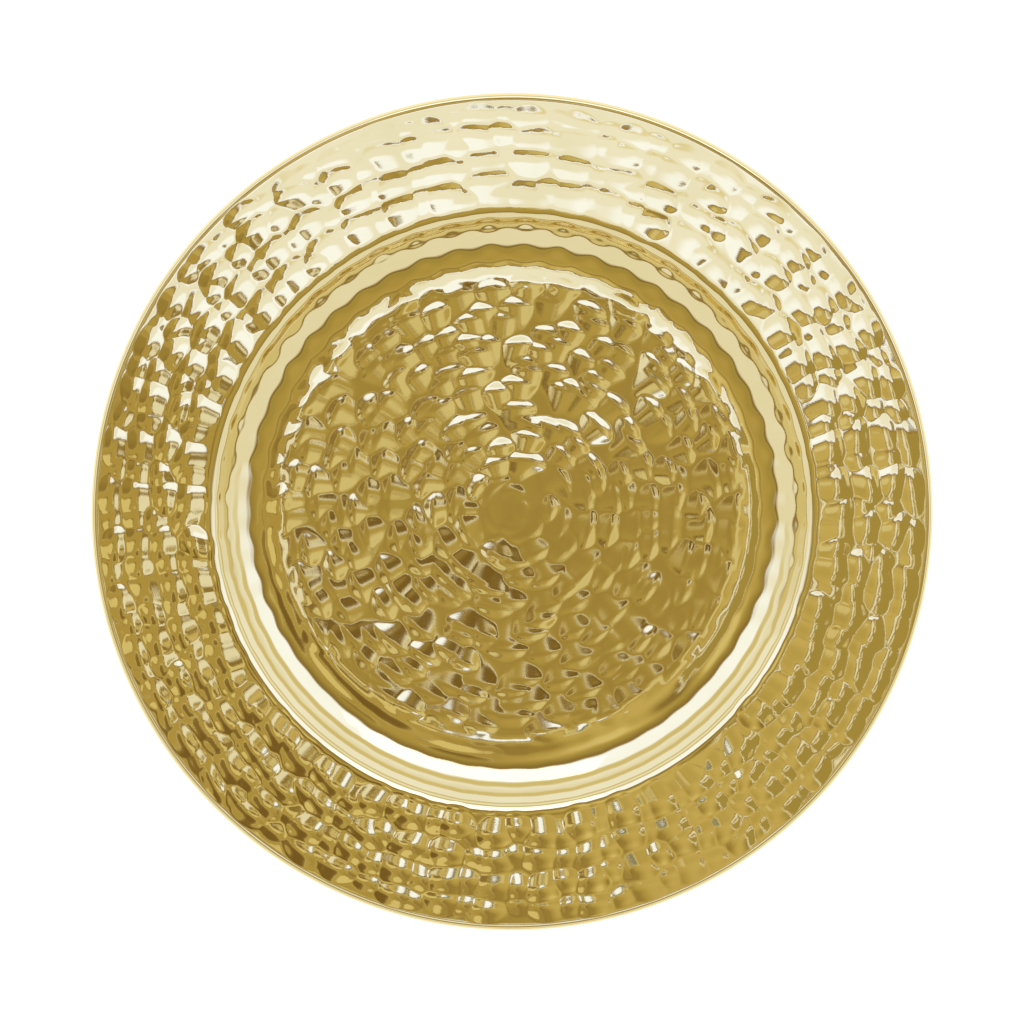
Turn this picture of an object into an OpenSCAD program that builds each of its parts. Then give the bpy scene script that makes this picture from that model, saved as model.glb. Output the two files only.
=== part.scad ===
// Round charger plate of hammered sheet metal. A flat well is swept up into a wall, which
// turns over a shoulder into a wide rim, and the rim's edge is curled round a stiffening wire.
// Rubber pads, each stuck on with an adhesive disc, stand under the well.
// The origin lies on the plate's axis, on the surface that the pads rest on, with +Z up.

/* [Plate] */
// Diameter over the curled edge
plate_d = 330; // [300:1:360]
// Thickness of the sheet
sheet_t = 0.8; // [0.6:0.1:1.2]

/* [Well] */
// Diameter of the flat floor of the well
floor_d = 176; // [160:1:190]
// Radius of the sweep from the floor into the wall, on the upper face
sweep_r = 36.5; // [30:0.5:42]
// Slope of the straight part of the wall, in degrees
wall_slope = 44; // [38:1:50]
// Length of the straight part of the wall
wall_l = 2.5; // [1:0.5:6]

/* [Rim] */
// Radius of the shoulder between the wall and the rim, on the upper face
shoulder_r = 11; // [8:0.5:20]
// Slope of the rim, rising outwards, in degrees
rim_slope = 9; // [5:0.5:12]

/* [Curled edge] */
// Diameter of the wire inside the curl
wire_d = 3; // [2:0.1:4]
// Gap between the two ends of the wire, along its length
wire_gap = 1; // [0.5:0.1:3]
// How far the sheet turns round the wire, in degrees
curl_turn = 290; // [240:5:300]

/* [Pads] */
// Number of rubber pads
pad_count = 4; // [3:1:8]
// Diameter of the circle that the pads stand on
pad_circle_d = 140; // [100:1:150]
// Diameter of a pad
pad_d = 12; // [8:0.5:16]
// Height of a pad
pad_h = 2.2; // [1.6:0.1:4]
// Radius of the rounded lower edge of a pad
pad_edge_r = 1.2; // [0.4:0.1:1.5]
// Diameter of the adhesive disc on a pad
adhesive_d = 11; // [6:0.5:16]
// Thickness of the adhesive disc
adhesive_t = 0.3; // [0.1:0.1:1]

/* [Hidden] */
// Room all round the wire inside the curl
wire_clearance = 0.05;
// Turn from the X axis to the first pad, and to the gap in the wire, in degrees
first_pad_angle = 45;
wire_gap_angle = 90;
// Numbers of straight steps in the arcs of the sheet's section and of a pad's edge
sweep_steps = 16;
shoulder_steps = 10;
curl_steps = 48;
pad_edge_steps = 6;
// Colours of the pieces
gold_colour = "#b9a24c";
steel_colour = "#9a9c9e";
rubber_colour = "#26262a";
adhesive_colour = "#d9d6cc";
$fn = 180;

// Heights of the floor's two faces
floor_under_z = pad_h + adhesive_t;
floor_z = floor_under_z + sheet_t;

// Radii of the curl round the wire
curl_inner_r = wire_d / 2 + wire_clearance;
curl_r = curl_inner_r + sheet_t;

// Centres and ends of the arcs in the sheet's section, as [distance from the axis, height].
// Each arc and straight part meets the next in a common tangent.
sweep_centre = [floor_d / 2, floor_z + sweep_r];
wall_foot = sweep_centre - sweep_r * across(wall_slope);
wall_top = wall_foot + wall_l * along(wall_slope);
shoulder_centre = wall_top - shoulder_r * across(wall_slope);
rim_start = shoulder_centre + shoulder_r * across(rim_slope);
curl_centre_r = plate_d / 2 - curl_r;
rim_end_r = curl_centre_r + curl_r * across(rim_slope).x;
rim_end = [rim_end_r, rim_start.y + (rim_end_r - rim_start.x) * tan(rim_slope)];
curl_centre = rim_end - curl_r * across(rim_slope);
curl_end_angle = upward(rim_slope) - curl_turn;

// Names of the pads and of their adhesive discs
pad_names = [for (i = [1:pad_count]) str("foot_pad_", i)];
adhesive_names = [for (i = [1:pad_count]) str("pad_adhesive_", i)];

// Direction up along a slope
function along(slope) = [cos(slope), sin(slope)];

// Direction square to a slope, on its upper side as an angle and as a vector, and on its lower side
function upward(slope) = 90 + slope;
function across(slope) = [cos(upward(slope)), sin(upward(slope))];
function downward(slope) = 270 + slope;

// Points along an arc from one angle to another
function arc_points(centre, r, from, to, steps) = [
    for (i = [0:steps])
        let (a = from + (to - from) * i / steps)
        centre + r * [cos(a), sin(a)]
];

// One face of the sheet from the axis out to the rim, the given depth below the upper face
function face_points(depth) = concat(
    [[0, floor_z - depth]],
    arc_points(sweep_centre, sweep_r + depth, downward(0), downward(wall_slope), sweep_steps),
    arc_points(shoulder_centre, shoulder_r - depth, upward(wall_slope), upward(rim_slope), shoulder_steps)
);

// One face of the curl, from the rim round the wire
function curl_points(r) = arc_points(curl_centre, r, upward(rim_slope), curl_end_angle, curl_steps);

function reversed(points) = [for (i = [len(points) - 1:-1:0]) points[i]];

// Section through the sheet, from the axis to the end of the curl and back underneath
module sheet_section() {
    upper_face = concat(face_points(0), curl_points(curl_r));
    lower_face = concat(face_points(sheet_t), curl_points(curl_inner_r));
    polygon(concat(upper_face, reversed(lower_face)));
}

module plate_sheet() {
    color(gold_colour)
        rotate_extrude()
            sheet_section();
}

// Steel wire, bent into a ring whose ends don't quite meet
module rim_wire() {
    gap_turn = wire_gap / curl_centre.x * 180 / PI;
    color(steel_colour)
        rotate([0, 0, wire_gap_angle + gap_turn / 2])
            rotate_extrude(angle = 360 - gap_turn)
                translate(curl_centre)
                    circle(d = wire_d);
}

// Places a piece on the pads' circle, at the height of its lower face
module at_pad(i, z) {
    rotate([0, 0, first_pad_angle + (i - 1) * 360 / pad_count])
        translate([pad_circle_d / 2, 0, z])
            children();
}

module foot_pad(i) {
    edge_centre = [pad_d / 2 - pad_edge_r, pad_edge_r];
    color(rubber_colour)
        at_pad(i, 0)
            rotate_extrude()
                polygon(concat(
                    [[0, pad_h], [0, 0]],
                    arc_points(edge_centre, pad_edge_r, -90, 0, pad_edge_steps),
                    [[pad_d / 2, pad_h]]
                ));
}

module pad_adhesive(i) {
    color(adhesive_colour)
        at_pad(i, pad_h)
            cylinder(d = adhesive_d, h = adhesive_t);
}

plate_sheet();
rim_wire();
for (i = [1:pad_count]) {
    foot_pad(i);
    pad_adhesive(i);
}
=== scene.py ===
"""A hammered gold charger plate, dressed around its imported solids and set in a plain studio."""
import math

import bpy
import numpy as np
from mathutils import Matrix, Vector


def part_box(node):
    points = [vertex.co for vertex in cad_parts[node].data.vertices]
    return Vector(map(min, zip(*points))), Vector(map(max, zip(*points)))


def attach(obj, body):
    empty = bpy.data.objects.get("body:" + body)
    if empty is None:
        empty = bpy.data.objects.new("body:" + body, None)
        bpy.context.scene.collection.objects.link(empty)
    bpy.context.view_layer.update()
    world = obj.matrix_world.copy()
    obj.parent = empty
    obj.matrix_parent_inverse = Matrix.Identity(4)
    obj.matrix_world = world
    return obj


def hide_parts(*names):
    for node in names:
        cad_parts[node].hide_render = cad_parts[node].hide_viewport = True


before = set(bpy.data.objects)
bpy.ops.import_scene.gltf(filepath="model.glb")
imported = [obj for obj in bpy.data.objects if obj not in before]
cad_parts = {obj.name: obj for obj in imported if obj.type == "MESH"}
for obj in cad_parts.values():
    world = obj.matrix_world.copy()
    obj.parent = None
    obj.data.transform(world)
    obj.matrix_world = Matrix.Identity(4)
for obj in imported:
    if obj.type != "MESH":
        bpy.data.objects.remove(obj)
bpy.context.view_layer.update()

# Sizes of the plate, as in its solids, in metres
MM = 0.001
SHEET_T = 0.8 * MM
FLOOR_R = 88 * MM
SWEEP_R = 36.5 * MM
WALL_SLOPE = math.radians(44)
WALL_L = 2.5 * MM
SHOULDER_R = 11 * MM
RIM_SLOPE = math.radians(9)
CURL_INNER_R = 1.55 * MM
CURL_TURN = math.radians(290)

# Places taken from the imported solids
sheet_low, sheet_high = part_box("plate_sheet")
PLATE_R = min(-sheet_low.x, -sheet_low.y, sheet_high.x, sheet_high.y)
FLOOR_UNDER_Z = sheet_low.z
FLOOR_Z = FLOOR_UNDER_Z + SHEET_T
CURL_R = CURL_INNER_R + SHEET_T

# Rows of hammer marks from the smooth border inwards, as width of the row, marks in a turn, slopes of the
# tread and of the sides of a mark in degrees, and place and half length of the bend up into its riser
HAMMERED_R = 160.2 * MM
RIM_ROWS = (
    (7.2 * MM, 96, 3.4, 3.2, 0.57, 0.28),
    (10.0 * MM, 96, 3.6, 3.8, 0.60, 0.28),
    (10.0 * MM, 96, 3.8, 3.4, 0.62, 0.26),
    (11.5 * MM, 96, 3.6, 3.4, 0.64, 0.26),
)
# Rows of the well from its outer edge inwards, as their width and the marks in a turn of each
WELL_R = 90 * MM
WELL_ROW_W = 9.75 * MM
WELL_MARKS = (60, 53, 46, 40, 33, 26, 20, 13, 6)
# The marks even out towards the axis, where they would all meet
CALM_R = 16 * MM
CALM_POWER = 1.5
# A mark is a long tread with a steeper riser outside it, and those of the rim are wide and narrow by turns.
# The first wide one lies this share of a pair round from the X axis, and wide ones lie lower than narrow ones
FIRST_WIDE = 0.63
WIDE_DROP = 0.08 * MM
# Softness of the ridges between marks, and the height above which a mark no longer tells
RIDGE_SOFTNESS = 0.025 * MM
MARK_TOP = 1.0 * MM
# How far the places, leans and depths of the marks scatter
RIM_SPREAD = 0.14
WELL_SPREAD = 0.31
LEAN_SPREAD = 0.35
DEPTH_SPREAD = 0.15
SEED = 7
# Mark of the well, as slopes of its tread and sides in degrees, half length of its bend, and scatter
WELL_MARK = (1.6, 2.6, 0.12, WELL_SPREAD)
# How hard the hammer struck on the rim and in the well, at the sides of their marks, and on the wall, by
# turn in degrees
RIM_BLOWS = ((0, 0.85), (45, 0.85), (120, 0.9), (150, 1.0), (240, 1.0), (280, 0.9), (330, 0.8))
WELL_BLOWS = (
    (0, 0.9), (30, 1.1), (100, 1.1), (140, 1.0), (188, 1.05), (262, 1.05), (272, 0.95), (340, 0.9)
)
RIM_SIDES = ((0, 1.2), (45, 0.9), (90, 0.8), (140, 1.0), (260, 1.0), (300, 1.3))
WELL_SIDES = ((0, 0.8), (30, 1.0), (170, 1.0), (200, 0.8), (340, 0.7))
WALL_BLOWS = ((0, 0.7), (30, 1.0), (150, 1.0), (190, 0.5), (220, 0.15), (320, 0.15), (345, 0.5))
# Where a mark of the well bends, as a share of its length, by turn in degrees
WELL_BENDS = ((0, 0.70), (30, 0.77), (100, 0.76), (140, 0.7), (180, 0.68), (262, 0.69), (272, 0.68))
# Waves of the wall, as distance from the axis, half width, depth and sharpness, then how many there are in
# a turn and how far their depths scatter
WALL_WAVES = (
    (114.0 * MM, 3.0 * MM, 0.20 * MM, 2),
    (106.5 * MM, 7.0 * MM, 0.34 * MM, 1),
    (94.5 * MM, 8.0 * MM, 0.18 * MM, 1),
)
WAVE_COUNT = 48
WAVE_SPREAD = 0.3

# The relief shows more weakly under the sheet than on it, and the floor is lifted so that its
# lowest bumps stay level with the flat underside of the solid
UNDER_SHARE = 0.6
FLOOR_LIFT = 0.4 * MM

# Spacing of the mesh along the sheet, how much finer it is on the shoulder, steps of the curl, and vertices
# in a turn out to each distance from the axis, of which the lower face has a half
UPPER_STEP = 0.6 * MM
LOWER_STEP = 1.3 * MM
SHOULDER_FINENESS = 1.5
CURL_STEPS = 24
TURN_COUNTS = ((40 * MM, 360), (80 * MM, 720), (1.0, 1440))

# Viewing frame, lean of the view from straight overhead towards the top of the picture, how far it aims
# beyond the plate's middle, and distances of the stage
IMAGE_PX = 1024
PLATE_PX = 841
VIEW_LEAN = math.radians(5.5)
VIEW_AIM = 0.6 * MM
CAMERA_H = 3.5
SENSOR_W = 36.0
FLOOR_SIZE = 12.0


def across(slope):
    """Direction square to a slope, on its upper side, as (outwards, upwards)."""
    return np.array((-math.sin(slope), math.cos(slope)))


def section_points():
    """Centres and joints of the arcs in the section of the sheet's upper face."""
    sweep_centre = np.array((FLOOR_R, FLOOR_Z + SWEEP_R))
    wall_foot = sweep_centre - SWEEP_R * across(WALL_SLOPE)
    wall_top = wall_foot + WALL_L * np.array((math.cos(WALL_SLOPE), math.sin(WALL_SLOPE)))
    shoulder_centre = wall_top - SHOULDER_R * across(WALL_SLOPE)
    rim_start = shoulder_centre + SHOULDER_R * across(RIM_SLOPE)
    rim_end_r = PLATE_R - CURL_R + CURL_R * across(RIM_SLOPE)[0]
    rim_end_z = rim_start[1] + (rim_end_r - rim_start[0]) * math.tan(RIM_SLOPE)
    rim_end = np.array((rim_end_r, rim_end_z))
    curl_centre = rim_end - CURL_R * across(RIM_SLOPE)
    return sweep_centre, wall_foot, wall_top, shoulder_centre, rim_start, rim_end, curl_centre


def arc_stations(centre, radius, slopes, side):
    """Stations (distance from the axis, height, slope) along an arc; side is 1 on a crest, -1 in a hollow."""
    return [(*(centre + side * radius * across(s)), s) for s in slopes]


def line_stations(start, end, slope, depth, step):
    """Stations along a straight run of the section, without its start."""
    steps = round(np.linalg.norm(end - start) / step)
    places = [start + (end - start) * i / steps - depth * across(slope) for i in range(1, steps + 1)]
    return [(*place, slope) for place in places]


def face_stations(depth, step):
    """Stations along one face of the sheet, from beside the axis to the end of the curl."""
    sweep_centre, wall_foot, wall_top, shoulder_centre, rim_start, rim_end, curl_centre = section_points()
    floor_steps = round(FLOOR_R / step)
    sweep_steps = round(SWEEP_R * WALL_SLOPE / step)
    shoulder_steps = round(SHOULDER_R * (WALL_SLOPE - RIM_SLOPE) / step * SHOULDER_FINENESS)
    stations = [(FLOOR_R * i / floor_steps, FLOOR_Z - depth, 0.0) for i in range(1, floor_steps + 1)]
    slopes = np.linspace(0, WALL_SLOPE, sweep_steps + 1)[1:]
    stations += arc_stations(sweep_centre, SWEEP_R + depth, slopes, -1)
    stations += line_stations(wall_foot, wall_top, WALL_SLOPE, depth, step)
    slopes = np.linspace(WALL_SLOPE, RIM_SLOPE, shoulder_steps + 1)[1:]
    stations += arc_stations(shoulder_centre, SHOULDER_R - depth, slopes, 1)
    stations += line_stations(rim_start, rim_end, RIM_SLOPE, depth, step)
    slopes = np.linspace(RIM_SLOPE, RIM_SLOPE - CURL_TURN, CURL_STEPS + 1)[1:]
    stations += arc_stations(curl_centre, CURL_R - depth, slopes, 1)
    return np.array(stations)


def hammer_rows():
    """Every row of marks: its edges, marks in a turn, shape of a mark, phase, drop, and tables by turn."""
    rows = []
    outer = HAMMERED_R
    for width, count, tread, side, bend, half_bend in RIM_ROWS:
        shape = (tread, side, half_bend, RIM_SPREAD)
        tables = (RIM_BLOWS, RIM_SIDES, ((0, bend),))
        rows.append((outer - width, outer, count, shape, 2 * FIRST_WIDE - 0.5, WIDE_DROP, tables))
        outer -= width
    outer = WELL_R
    tables = (WELL_BLOWS, WELL_SIDES, WELL_BENDS)
    for index, count in enumerate(WELL_MARKS):
        rows.append((outer - WELL_ROW_W, outer, count, WELL_MARK, 0.5 * (index % 2), 0, tables))
        outer -= WELL_ROW_W
    return rows


def shares_at(turns, table):
    """Shares from a table of (degrees, share), read at turns that run from 0 to 1."""
    degrees, shares = np.transpose(table)
    return np.interp(turns * 360, degrees, shares, period=360)


def mark_heights(radius, theta):
    """Height of the hammered face against the plain sheet: the soft lower envelope of stepped marks."""
    rng = np.random.default_rng(SEED)
    envelope = np.ones_like(radius)
    for inner, outer, count, shape, phase, drop, (blows, sides, bends) in hammer_rows():
        tread, side, half_bend, spread = shape
        width = outer - inner
        half_turn = math.pi * (inner + outer) / 2 / count
        middles = (np.arange(count) + phase + 0.5) / count
        place_r, place_t = rng.normal(0, spread, (2, count))
        lean = rng.normal(0, LEAN_SPREAD, count)
        depths = shares_at(middles, blows) * (1 + rng.normal(0, DEPTH_SPREAD, count))
        side_drops = shares_at(middles, sides) * half_turn * math.tan(math.radians(side)) / 2
        bend = shares_at(middles, bends)
        drops = np.where(np.arange(count) % 2 == 0, -drop, drop)
        near = (radius > inner - width) & (radius < outer + width)
        turn = theta[near] / (2 * math.pi) * count - phase
        first = np.floor(turn).astype(int)
        for neighbour in (-1, 0, 1):
            cell = np.mod(first + neighbour, count)
            out = (radius[near] - inner) / width - place_r[cell]
            along = 2 * (turn - first - neighbour - 0.5 - place_t[cell]) + lean[cell] * (out - 0.5)
            past = out - bend[cell] + half_bend
            in_bend = np.clip(past, 0, 2 * half_bend)
            riser = in_bend ** 2 / (4 * half_bend) + past.clip(min=2 * half_bend) - 2 * half_bend
            step = riser / (1 - bend[cell]) - out
            bowl = width * math.tan(math.radians(tread)) * step + side_drops[cell] * (along ** 2 - 1)
            bowl = depths[cell] * bowl + drops[cell]
            envelope[near] += np.exp(-np.minimum(bowl, MARK_TOP) / RIDGE_SOFTNESS)
    heights = -RIDGE_SOFTNESS * np.log(envelope)
    calm = radius < CALM_R
    level = heights[calm].mean()
    heights[calm] = level + (heights[calm] - level) * (radius[calm] / CALM_R) ** CALM_POWER
    return heights


def wave_heights(radius, theta):
    """Shallow waves that the hammer left round the wall."""
    rng = np.random.default_rng(SEED)
    heights = np.zeros_like(radius)
    turn = theta / (2 * math.pi) * WAVE_COUNT - FIRST_WIDE
    cell = np.mod(np.floor(turn + 0.5).astype(int), WAVE_COUNT)
    swing = (1 + np.cos(2 * math.pi * turn)) / 2
    struck = shares_at((np.arange(WAVE_COUNT) + FIRST_WIDE) / WAVE_COUNT, WALL_BLOWS)
    for middle, half, depth, sharpness in WALL_WAVES:
        depths = depth * struck * (1 + rng.normal(0, WAVE_SPREAD, WAVE_COUNT))
        reach = np.clip(1 - ((radius - middle) / half) ** 2, 0, None) ** 2
        heights -= depths[cell] * swing ** sharpness * reach
    return heights


def turn_count(radius):
    """Vertices in a turn of the mesh at a distance from the axis."""
    return next(count for reach, count in TURN_COUNTS if radius <= reach)


def ring_faces(inner_start, inner_count, outer_start, outer_count):
    """Faces that join two rings of vertices, of which the outer has as many or twice as many."""
    j = np.arange(inner_count)
    a0 = inner_start + j
    a1 = inner_start + (j + 1) % inner_count
    if outer_count == inner_count:
        b0 = outer_start + j
        b1 = outer_start + (j + 1) % outer_count
        return np.stack((a0, b0, b1, a1), 1).tolist()
    b0 = outer_start + 2 * j
    b1 = outer_start + 2 * j + 1
    b2 = outer_start + (2 * j + 2) % outer_count
    corners = ((a0, b0, b1), (a0, b1, a1), (a1, b1, b2))
    return [face for three in corners for face in np.stack(three, 1).tolist()]


def face_mesh(stations, relief, lift, first_index, share):
    """Vertices and faces of one face of the sheet: a pole on the axis and a ring at each station.

    The share divides the vertices in a turn.
    """
    radius = [np.zeros(1)]
    theta = [np.zeros(1)]
    height = [np.full(1, stations[0, 1])]
    slope = [np.zeros(1)]
    weight = [np.ones(1)]
    starts = []
    counts = []
    total = 1
    curl_from = len(stations) - CURL_STEPS
    for index, (r, z, s) in enumerate(stations):
        count = counts[-1] if index >= curl_from else turn_count(r) // share
        starts.append(first_index + total)
        counts.append(count)
        total += count
        radius.append(np.full(count, r))
        theta.append(2 * math.pi * np.arange(count) / count)
        height.append(np.full(count, z))
        slope.append(np.full(count, s))
        weight.append(np.full(count, float(index < curl_from)))
    radius, theta, height, slope, weight = map(np.concatenate, (radius, theta, height, slope, weight))
    marks = (mark_heights(radius, theta) + wave_heights(radius, theta)) * weight
    inside_wall = radius < FLOOR_R + SWEEP_R * math.sin(WALL_SLOPE)
    floor_share = np.clip(1 - slope / WALL_SLOPE, 0, 1) * inside_wall
    offset = relief * marks + lift * floor_share
    r = radius - np.sin(slope) * offset
    z = height + np.cos(slope) * offset
    places = np.stack((r * np.cos(theta), r * np.sin(theta), z), 1)
    faces = [(first_index, starts[0] + j, starts[0] + (j + 1) % counts[0]) for j in range(counts[0])]
    for k in range(len(starts) - 1):
        faces += ring_faces(starts[k], counts[k], starts[k + 1], counts[k + 1])
    return places, faces, (starts[-1], counts[-1])


def plate_sheet():
    """The hammered sheet as one closed mesh: upper face, lower face and the edge at the end of the curl."""
    upper, upper_faces, upper_end = face_mesh(face_stations(0, UPPER_STEP), 1.0, FLOOR_LIFT, 0, 1)
    under_lift = UNDER_SHARE * FLOOR_LIFT
    stations = face_stations(SHEET_T, LOWER_STEP)
    lower, lower_faces, lower_end = face_mesh(stations, UNDER_SHARE, under_lift, len(upper), 2)
    faces = upper_faces + [face[::-1] for face in lower_faces]
    faces += [face[::-1] for face in ring_faces(*lower_end, *upper_end)]
    mesh = bpy.data.meshes.new("hammered_sheet")
    mesh.from_pydata(np.concatenate((upper, lower)).tolist(), [], faces)
    mesh.polygons.foreach_set("use_smooth", np.ones(len(faces), bool))
    mesh.update()
    piece = bpy.data.objects.new("hammered_sheet", mesh)
    bpy.context.scene.collection.objects.link(piece)
    piece.data.materials.append(gold_material())
    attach(piece, "root")
    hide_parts("plate_sheet")


class Nodes:
    """Short calls to add and link nodes in a tree."""

    def __init__(self, tree):
        self.tree = tree
        self.shader = tree.nodes.get("Principled BSDF")

    def add(self, kind, **values):
        node = self.tree.nodes.new(kind)
        for name, value in values.items():
            setattr(node, name, value)
        return node

    def link(self, output, socket):
        self.tree.links.new(output, socket)

    def maths(self, operation, first, second=0.0):
        """Output of a sum on outputs or plain values."""
        node = self.add("ShaderNodeMath", operation=operation)
        for socket, value in zip(node.inputs, (first, second)):
            if isinstance(value, (int, float)):
                socket.default_value = value
            else:
                self.link(value, socket)
        return node.outputs[0]

    def noise(self, scale, detail=3.0):
        """Factor of a noise texture in the object's own coordinates."""
        place = self.add("ShaderNodeTexCoord")
        node = self.add("ShaderNodeTexNoise")
        node.inputs["Scale"].default_value = scale
        node.inputs["Detail"].default_value = detail
        self.link(place.outputs["Object"], node.inputs["Vector"])
        return node.outputs["Fac"]

    def spread(self, factor, low, high, from_low=0.3, from_high=0.7):
        """A factor stretched to run from low to high."""
        node = self.add("ShaderNodeMapRange")
        node.inputs["From Min"].default_value = from_low
        node.inputs["From Max"].default_value = from_high
        node.inputs["To Min"].default_value = low
        node.inputs["To Max"].default_value = high
        self.link(factor, node.inputs["Value"])
        return node.outputs["Result"]

    def mixed(self, factor, first, second):
        """A colour that runs from first to second, each a colour or an output."""
        node = self.add("ShaderNodeMix", data_type="RGBA")
        self.link(factor, node.inputs["Factor"])
        for socket, colour in ((node.inputs[6], first), (node.inputs[7], second)):
            if isinstance(colour, tuple):
                socket.default_value = (*colour, 1)
            else:
                self.link(colour, socket)
        return node.outputs[2]

    def bump(self, factor, strength, distance):
        """Roughens the shader's surface by a factor."""
        node = self.add("ShaderNodeBump")
        node.inputs["Strength"].default_value = strength
        node.inputs["Distance"].default_value = distance
        self.link(factor, node.inputs["Height"])
        self.link(node.outputs["Normal"], self.shader.inputs["Normal"])


# Two colours of each material, which change from patch to patch
GOLD_LIGHT = (0.92, 0.78, 0.40)
GOLD_DEEP = (0.88, 0.74, 0.36)
STEEL_DARK = (0.50, 0.50, 0.51)
STEEL_LIGHT = (0.64, 0.64, 0.65)
RUBBER_BLACK = (0.018, 0.018, 0.020)
RUBBER_DUST = (0.045, 0.044, 0.042)
ADHESIVE_PALE = (0.80, 0.78, 0.72)
ADHESIVE_YELLOW = (0.70, 0.66, 0.55)


def new_material(name):
    """A new node material and the short calls on its tree."""
    material = bpy.data.materials.new(name)
    material.use_nodes = True
    return material, Nodes(material.node_tree)


def gold_material():
    """Polished gold-coloured metal, a little deeper and duller in patches."""
    material, nodes = new_material("hammered_gold")
    patches = nodes.spread(nodes.noise(scale=38), 0, 1)
    nodes.link(nodes.mixed(patches, GOLD_LIGHT, GOLD_DEEP), nodes.shader.inputs["Base Color"])
    nodes.shader.inputs["Metallic"].default_value = 1
    nodes.link(nodes.spread(nodes.noise(scale=160), low=0.02, high=0.05), nodes.shader.inputs["Roughness"])
    nodes.bump(nodes.noise(scale=2600, detail=4), strength=0.03, distance=0.1 * MM)
    return material


def steel_material():
    """Drawn steel wire with a fine grain."""
    material, nodes = new_material("drawn_steel")
    tone = nodes.spread(nodes.noise(scale=420), 0, 1)
    nodes.link(nodes.mixed(tone, STEEL_DARK, STEEL_LIGHT), nodes.shader.inputs["Base Color"])
    nodes.shader.inputs["Metallic"].default_value = 1
    nodes.link(nodes.spread(nodes.noise(scale=900), low=0.28, high=0.42), nodes.shader.inputs["Roughness"])
    nodes.bump(nodes.noise(scale=1800), strength=0.1, distance=0.05 * MM)
    return material


def rubber_material():
    """Moulded black rubber with a fine grain and a little dust."""
    material, nodes = new_material("pad_rubber")
    dust = nodes.spread(nodes.noise(scale=700, detail=5), 0, 1)
    nodes.link(nodes.mixed(dust, RUBBER_BLACK, RUBBER_DUST), nodes.shader.inputs["Base Color"])
    nodes.link(nodes.spread(nodes.noise(scale=500), low=0.62, high=0.85), nodes.shader.inputs["Roughness"])
    nodes.bump(nodes.noise(scale=3500, detail=4), strength=0.25, distance=0.06 * MM)
    return material


def adhesive_material():
    """Pale adhesive film, a little yellow in patches."""
    material, nodes = new_material("pad_adhesive")
    tone = nodes.spread(nodes.noise(scale=450), 0, 1)
    nodes.link(nodes.mixed(tone, ADHESIVE_PALE, ADHESIVE_YELLOW), nodes.shader.inputs["Base Color"])
    nodes.link(nodes.spread(nodes.noise(scale=900), low=0.4, high=0.6), nodes.shader.inputs["Roughness"])
    nodes.bump(nodes.noise(scale=1500), strength=0.1, distance=0.05 * MM)
    return material


def dress_solids():
    """Gives the pieces that keep their own solids their materials."""
    rubber = rubber_material()
    adhesive = adhesive_material()
    for name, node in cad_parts.items():
        if name == "rim_wire":
            finish = steel_material()
        elif name.startswith("foot_pad"):
            finish = rubber
        elif name.startswith("pad_adhesive"):
            finish = adhesive
        else:
            continue
        node.data.materials.clear()
        node.data.materials.append(finish)


# Colours of the surroundings
BLACK = (0.20, 0.13, 0.04)
DARK = (0.28, 0.20, 0.07)
DEEP = (0.40, 0.32, 0.11)
SHADE = (0.455, 0.355, 0.122)
OLIVE = (0.50, 0.40, 0.155)
TAN = (0.62, 0.51, 0.23)
SOFT = (0.72, 0.64, 0.36)
LIGHT = (0.70, 0.64, 0.42)
WARM = (0.82, 0.81, 0.72)
CREAM = (0.85, 0.87, 0.95)
PALE = (0.93, 1.00, 1.30)
BRIGHT = (1.06, 1.22, 2.0)
GREY = (0.26, 0.29, 0.26)
# Slow, middling and quick swells over the ceiling, as wavelengths and azimuths in degrees and phases
SLOW_SWELL = ((23, 10, 3.3), (19, 75, 4.7), (26, 130, 5.8), (17, 45, 4.5), (21, 160, 2.6))
SPOT_SWELL = ((16, 15, 0.2), (20, 70, 1.3), (15, 125, 3.3), (18, 165, 5.0))
EDGE_SWELL = ((6.1, 20, 0.5), (7.3, 80, 2.4), (5.4, 140, 4.4))
# Each stop below is a place on its scale, a colour and an opacity. The ceiling shades with the slow swell on
# the left of the room, and this fades out over a span of the direction's part to the right
CEILING_STOPS = ((-1.5, DARK, 1), (-0.9, DEEP, 1), (-0.2, OLIVE, 1), (0.8, TAN, 1), (1.4, SOFT, 1))
SHADED_SPAN = (-0.22, 0.22)
# On its right the ceiling has spots by the middling swell, which set in over the spans given: to the right
# and backwards on the flat ceiling, and by zenith angle. At the front they show only by a share
SPOT_STOPS = ((-1.6, SOFT, 1), (-1.1, SOFT, 1), (-1.0, DARK, 1), (-0.9, DARK, 0.9), (-0.8, SHADE, 0),
              (0.35, SHADE, 0), (0.45, LIGHT, 0.8), (0.5, LIGHT, 0.8), (0.6, DARK, 1), (1.5, BLACK, 1))
SPOTS_RIGHT_SPAN = (-2, 4)
SPOTS_BACK_SPAN = (-8, 0)
SPOTS_ZENITH_SPAN = (9.5, 10.5)
FRONT_SPOTS_SHARE = 0.4
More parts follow.
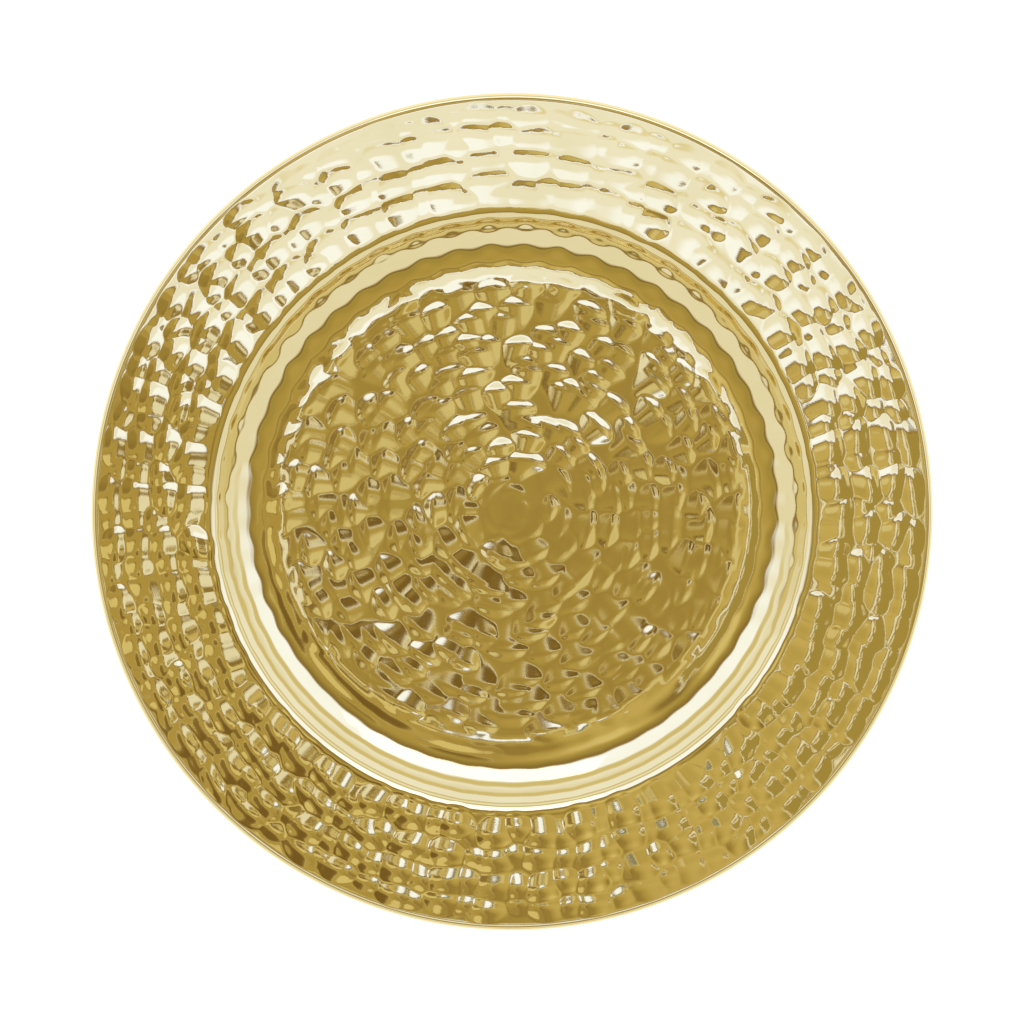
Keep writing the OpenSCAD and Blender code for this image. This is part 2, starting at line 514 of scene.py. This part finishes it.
# Walls before and behind the plate, by zenith angle, and the azimuth of the front one with the turn from it
# over which they meet
FRONT_STOPS = ((29.5, SHADE, 0), (30.5, DARK, 1), (32, OLIVE, 1), (37, SHADE, 1), (41, DEEP, 1),
               (46, DEEP, 1), (47.5, BLACK, 1), (48.5, DARK, 1), (51.5, CREAM, 1), (76.5, CREAM, 1),
               (77.2, DARK, 1), (78.5, DARK, 1), (79.2, LIGHT, 1), (90, LIGHT, 1))
BACK_STOPS = ((34, SHADE, 0), (38, DEEP, 1), (42.5, DARK, 1), (44.5, DARK, 1), (46.5, BRIGHT, 1),
              (62, BRIGHT, 1), (64.5, LIGHT, 1), (69, LIGHT, 1), (71.5, PALE, 1), (77.5, CREAM, 1),
              (79, LIGHT, 1), (83, LIGHT, 1), (84.5, PALE, 1), (90, PALE, 1))
FRONT_AZIMUTH = -95
WALLS_MEET_SPAN = (80, 110)
# The panel over the front, as middle and half size to the right and backwards in degrees, with its colours by
# zenith angle, which the slow swell moves, and those of its edge by degrees beyond it
PANEL_MIDDLE = (-2.0, -15.35)
PANEL_HALF = (18.5, 9.15)
PANEL_STOPS = ((5, BRIGHT, 1), (12, BRIGHT, 1), (14, PALE, 1), (20, PALE, 1), (24, WARM, 1), (27, LIGHT, 1))
PANEL_SWELL = 1.6
PANEL_EDGE_SPAN = (-0.1, 0.1)
EDGE_STOPS = ((-1.3, BRIGHT, 0), (-0.9, BRIGHT, 1), (-0.3, BRIGHT, 1), (0.2, DARK, 1), (0.8, DARK, 1),
              (1.2, SHADE, 0.4), (2, SHADE, 0))
# Bars overhead, as azimuth and zenith angle, half width and half length in degrees, and the colours of the
# bar and of its outline
BARS = (
    (47, 8.9, 1.5, 5, TAN, DARK),
    (50, 7.0, 1.2, 6, LIGHT, BLACK),
    (226, 4.5, 1.0, 3.2, BLACK, CREAM),
    (154, 4.4, 0.7, 1.1, BLACK, LIGHT),
    (122, 4.6, 0.5, 1.0, BLACK, LIGHT),
    (-28, 5.9, 0.7, 4, DARK, LIGHT),
    (148, 6.4, 1.8, 8, LIGHT, OLIVE),
    (66, 11.4, 1.0, 5, DARK, LIGHT),
    (92, 9.4, 2.0, 2.6, GREY, LIGHT),
    (92, 9.0, 0.9, 1.9, BRIGHT, BLACK),
    (-7, 8.6, 1.6, 8, CREAM, DARK),
)
# Degrees beyond its edge where the fill of a bar or an arc ends, and where its outline starts, ends and
# is gone
FILL_END = -0.2
OUTLINE_START = 0.1
OUTLINE_END = 0.4
OUTLINE_GONE = 0.7
# A dark arc and a thin pale one on the left, as azimuth and half turn, zenith angle and half width, and the
# colours of the arc and of its outline, and how far the slow swell moves them
ARCS = (
    (168, 34, 22.5, 4.5, DEEP, CREAM),
    (180, 40, 15.5, 0.9, CREAM, DARK),
)
ARC_SWELL = 1.2
# How far edges waver with the quick swell, in degrees, and the share of it on the arcs and the panel
WOBBLE = 0.5
CALM_WOBBLE_SHARE = 0.5
# Least upward part taken for a direction, as places on the flat ceiling run off to infinity at the horizon
LEAST_UP = 0.02
# Degrees in a radian
IN_DEGREES = 180 / math.pi


def direction_to(azimuth, zenith):
    """Unit vector to a direction given in degrees."""
    ring = math.sin(math.radians(zenith))
    turn = math.radians(azimuth)
    return Vector((ring * math.cos(turn), ring * math.sin(turn), math.cos(math.radians(zenith))))


class Sky(Nodes):
    """Directions of the surroundings, which lean with the view, and colours laid over one another."""

    def __init__(self, tree):
        super().__init__(tree)
        lean = self.add("ShaderNodeVectorRotate", rotation_type="X_AXIS")
        lean.inputs["Angle"].default_value = -VIEW_LEAN
        self.link(self.add("ShaderNodeTexCoord").outputs["Generated"], lean.inputs["Vector"])
        self.direction = lean.outputs["Vector"]
        split = self.add("ShaderNodeSeparateXYZ")
        self.link(self.direction, split.inputs[0])
        self.right, self.back, self.up = split.outputs
        self.above = self.maths("GREATER_THAN", self.up, 0.0)
        self.zenith = self.angle_from(self.direction, (0, 0, 1))
        height = self.maths("MAXIMUM", self.up, LEAST_UP)
        self.flat_x = self.maths("MULTIPLY", self.maths("DIVIDE", self.right, height), IN_DEGREES)
        self.flat_y = self.maths("MULTIPLY", self.maths("DIVIDE", self.back, height), IN_DEGREES)
        level = self.add("ShaderNodeCombineXYZ")
        self.link(self.right, level.inputs[0])
        self.link(self.back, level.inputs[1])
        self.level = self.add("ShaderNodeVectorMath", operation="NORMALIZE")
        self.link(level.outputs[0], self.level.inputs[0])

    def angle_from(self, direction, axis):
        """Angle in degrees between a direction output and a fixed axis."""
        dot = self.add("ShaderNodeVectorMath", operation="DOT_PRODUCT")
        dot.inputs[1].default_value = axis
        self.link(direction, dot.inputs[0])
        return self.maths("MULTIPLY", self.maths("ARCCOSINE", dot.outputs["Value"]), IN_DEGREES)

    def turn_from(self, azimuth):
        """Angle in degrees, on the level, between the direction and an azimuth."""
        return self.angle_from(self.level.outputs[0], direction_to(azimuth, 90))

    def along(self, azimuth):
        """Place in degrees along an azimuth on the flat ceiling."""
        turn = math.radians(azimuth)
        part_x = self.maths("MULTIPLY", self.flat_x, math.cos(turn))
        part_y = self.maths("MULTIPLY", self.flat_y, math.sin(turn))
        return self.maths("ADD", part_x, part_y)

    def swell(self, waves):
        """A sum of sine waves over the ceiling, with a spread of about one."""
        total = 0.0
        for length, azimuth, phase in waves:
            turn = self.maths("MULTIPLY", self.along(azimuth), 2 * math.pi / length)
            total = self.maths("ADD", self.maths("SINE", self.maths("ADD", turn, phase)), total)
        return self.maths("DIVIDE", total, math.sqrt(len(waves) / 2))

    def beyond(self, place, middle, half):
        """How far a place lies beyond the ends of a span."""
        return self.maths("SUBTRACT", self.maths("ABSOLUTE", self.maths("SUBTRACT", place, middle)), half)

    def swelled(self, value, swell, share):
        """A value moved by a share of a swell."""
        return self.maths("ADD", value, self.maths("MULTIPLY", swell, share))

    def laid_over(self, ground, stops, value, shown=1.0):
        """A colour ramp over a value, laid over a ground as far as it is shown."""
        low = stops[0][0]
        high = stops[-1][0]
        ramp = self.add("ShaderNodeValToRGB")
        elements = ramp.color_ramp.elements
        while len(elements) < len(stops):
            elements.new(1.0)
        for element, (place, colour, opacity) in zip(elements, stops):
            element.position = (place - low) / (high - low)
            element.color = (*colour, opacity)
        self.link(self.spread(value, 0, 1, low, high), ramp.inputs[0])
        opacity = self.maths("MULTIPLY", ramp.outputs["Alpha"], shown)
        return self.mixed(opacity, ground, ramp.outputs["Color"])

    def outlined(self, ground, beyond, fill, outline):
        """A shape with an outline, laid over a ground, by degrees beyond its edge."""
        stops = (
            (FILL_END, fill, 1),
            (OUTLINE_START, outline, 1),
            (OUTLINE_END, outline, 1),
            (OUTLINE_GONE, outline, 0),
        )
        return self.laid_over(ground, stops, beyond, self.above)


def ceiling(sky, slow):
    """The dim warm ceiling, with spots on its right."""
    left = sky.spread(sky.right, 1, 0, *SHADED_SPAN)
    colour = sky.laid_over(SHADE, CEILING_STOPS, slow, left)
    right = sky.spread(sky.flat_x, 0, 1, *SPOTS_RIGHT_SPAN)
    shown = sky.maths("MULTIPLY", right, sky.spread(sky.zenith, 0, 1, *SPOTS_ZENITH_SPAN))
    backward = sky.spread(sky.flat_y, FRONT_SPOTS_SHARE, 1, *SPOTS_BACK_SPAN)
    shown = sky.maths("MULTIPLY", shown, backward)
    return sky.laid_over(colour, SPOT_STOPS, sky.swell(SPOT_SWELL), shown)


def with_bars(sky, colour, wobble, slow):
    """The bars and the arcs, laid over the ceiling."""
    for azimuth, tilt, half_w, half_l, fill, outline in BARS:
        over_w = sky.beyond(sky.along(azimuth), tilt, half_w)
        over_l = sky.beyond(sky.along(azimuth + 90), 0.0, half_l)
        edge = sky.maths("ADD", sky.maths("MAXIMUM", over_w, over_l), wobble)
        colour = sky.outlined(colour, edge, fill, outline)
    for azimuth, half_turn, zenith, half_w, fill, outline in ARCS:
        over_w = sky.beyond(sky.swelled(sky.zenith, slow, ARC_SWELL), zenith, half_w)
        over_l = sky.maths("SUBTRACT", sky.turn_from(azimuth), half_turn)
        over_l = sky.maths("MULTIPLY", over_l, math.sin(math.radians(zenith)))
        edge = sky.swelled(sky.maths("MAXIMUM", over_w, over_l), wobble, CALM_WOBBLE_SHARE)
        colour = sky.outlined(colour, edge, fill, outline)
    return colour


def with_walls(sky, colour):
    """The walls before and behind the plate, laid over the ceiling."""
    front = sky.laid_over(colour, FRONT_STOPS, sky.zenith)
    back = sky.laid_over(colour, BACK_STOPS, sky.zenith)
    return sky.mixed(sky.spread(sky.turn_from(FRONT_AZIMUTH), 0, 1, *WALLS_MEET_SPAN), front, back)


def with_panel(sky, colour, wobble, slow):
    """The panel over the front, laid over the ceiling."""
    over_x = sky.beyond(sky.flat_x, PANEL_MIDDLE[0], PANEL_HALF[0])
    over_y = sky.beyond(sky.flat_y, PANEL_MIDDLE[1], PANEL_HALF[1])
    edge = sky.swelled(sky.maths("MAXIMUM", over_x, over_y), wobble, CALM_WOBBLE_SHARE)
    inside = sky.maths("MULTIPLY", sky.spread(edge, 1, 0, *PANEL_EDGE_SPAN), sky.above)
    colour = sky.laid_over(colour, PANEL_STOPS, sky.swelled(sky.zenith, slow, PANEL_SWELL), inside)
    return sky.laid_over(colour, EDGE_STOPS, edge, sky.above)


def make_world():
    """Soft surroundings that change with direction."""
    world = bpy.data.worlds.new("studio")
    bpy.context.scene.world = world
    world.use_nodes = True
    sky = Sky(world.node_tree)
    slow = sky.swell(SLOW_SWELL)
    wobble = sky.maths("MULTIPLY", sky.swell(EDGE_SWELL), WOBBLE)
    colour = ceiling(sky, slow)
    colour = with_bars(sky, colour, wobble, slow)
    colour = with_walls(sky, colour)
    colour = with_panel(sky, colour, wobble, slow)
    sky.link(colour, world.node_tree.nodes["Background"].inputs["Color"])


def soft_box(name, zenith, azimuth, distance, width, height, radiance):
    """A flat lamp that faces the plate from a direction given in degrees; width lies level."""
    data = bpy.data.lights.new(name, "AREA")
    data.shape = "RECTANGLE"
    data.size = width
    data.size_y = height
    data.energy = radiance * math.pi * width * height
    lamp = bpy.data.objects.new(name, data)
    bpy.context.scene.collection.objects.link(lamp)
    away = direction_to(azimuth, zenith)
    lamp.location = away * distance
    lamp.rotation_mode = "QUATERNION"
    lamp.rotation_quaternion = away.to_track_quat("Z", "Y")
    lamp.visible_camera = False


def make_lamps():
    """One wide soft lamp behind the plate, in metres and degrees."""
    soft_box("back_panel", zenith=46, azimuth=80, distance=3.0, width=2.6, height=0.9, radiance=0.5)


# How much light the floor throws back, how rough it is, and how brightly it is seen
FLOOR_ALBEDO = 0.35
FLOOR_ROUGHNESS = 0.9
FLOOR_GLOW = 0.85


def make_floor():
    """A plain white floor that is bright to the eye and in the metal, and keeps the plate's shadow."""
    half = FLOOR_SIZE / 2
    corners = [(-half, -half, 0), (half, -half, 0), (half, half, 0), (-half, half, 0)]
    mesh = bpy.data.meshes.new("floor")
    mesh.from_pydata(corners, [], [(0, 1, 2, 3)])
    floor = bpy.data.objects.new("floor", mesh)
    bpy.context.scene.collection.objects.link(floor)
    material, nodes = new_material("white_floor")
    nodes.shader.inputs["Base Color"].default_value = (FLOOR_ALBEDO, FLOOR_ALBEDO, FLOOR_ALBEDO, 1)
    nodes.shader.inputs["Roughness"].default_value = FLOOR_ROUGHNESS
    nodes.shader.inputs["Emission Color"].default_value = (1, 1, 1, 1)
    path = nodes.add("ShaderNodeLightPath")
    seen = path.outputs["Is Camera Ray"]
    for ray in ("Is Glossy Ray", "Is Transmission Ray"):
        seen = nodes.maths("MAXIMUM", seen, path.outputs[ray])
    glow = nodes.maths("MULTIPLY", seen, FLOOR_GLOW)
    nodes.link(glow, nodes.shader.inputs["Emission Strength"])
    mesh.materials.append(material)


def make_camera():
    """A camera almost straight above the plate, with the top of the picture towards +Y."""
    data = bpy.data.cameras.new("camera")
    camera = bpy.data.objects.new("camera", data)
    bpy.context.scene.collection.objects.link(camera)
    curl_centre = section_points()[-1]
    away = CAMERA_H * direction_to(90, math.degrees(VIEW_LEAN))
    camera.location = away + Vector((0, VIEW_AIM, curl_centre[1]))
    camera.rotation_euler = (-VIEW_LEAN, 0, 0)
    frame_w = 2 * PLATE_R * IMAGE_PX / PLATE_PX
    data.sensor_width = SENSOR_W
    data.lens = SENSOR_W * CAMERA_H / frame_w
    bpy.context.scene.camera = camera


plate_sheet()
dress_solids()
make_world()
make_lamps()
make_floor()
make_camera()
bpy.context.scene.view_settings.view_transform = "Standard"
